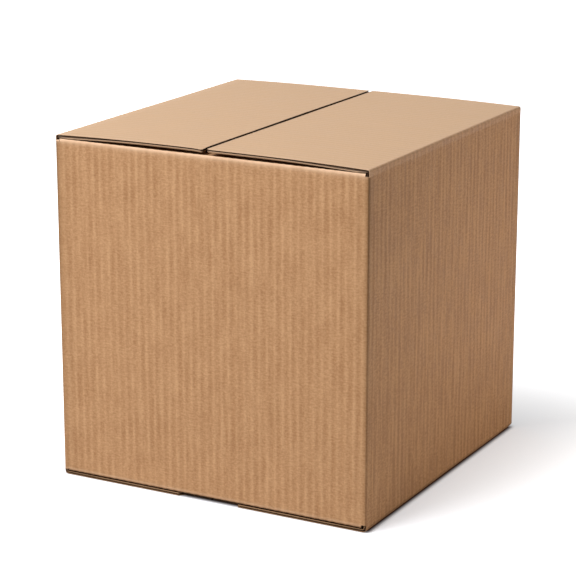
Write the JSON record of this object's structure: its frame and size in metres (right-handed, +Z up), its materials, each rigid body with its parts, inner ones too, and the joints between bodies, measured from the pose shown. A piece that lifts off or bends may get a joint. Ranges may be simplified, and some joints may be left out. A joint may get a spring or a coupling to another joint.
{
  "type": "closed corrugated shipping carton",
  "caption": "Plain closed shipping carton of brown corrugated board, untaped, whose two outer top flaps hinge open from a seam down the middle.",
  "frame": {"origin": "centre of the underside, on the surface that the carton stands on", "axes": "+X to the right of the front panel, +Y to the back along the top seam, +Z up"},
  "size_m": [0.313, 0.325, 0.3232],
  "materials": {
    "body_board": "matt kraft liner",
    "flap_board": "matt kraft liner"
  },
  "bodies": {
    "box": {"box_body": "body_board"},
    "left_flap": {"left_top_flap": "flap_board"},
    "right_flap": {"right_top_flap": "flap_board"}
  },
  "joints": [
    {"name": "left_flap_fold", "type": "hinge", "parent": "box", "child": "left_flap", "pos_m": [-0.1545, 0, 0.3193], "axis": [0, -1, 0], "range_deg": [0, 175]},
    {"name": "right_flap_fold", "type": "hinge", "parent": "box", "child": "right_flap", "pos_m": [0.1545, 0, 0.3193], "axis": [0, 1, 0], "range_deg": [0, 175]}
  ]
}
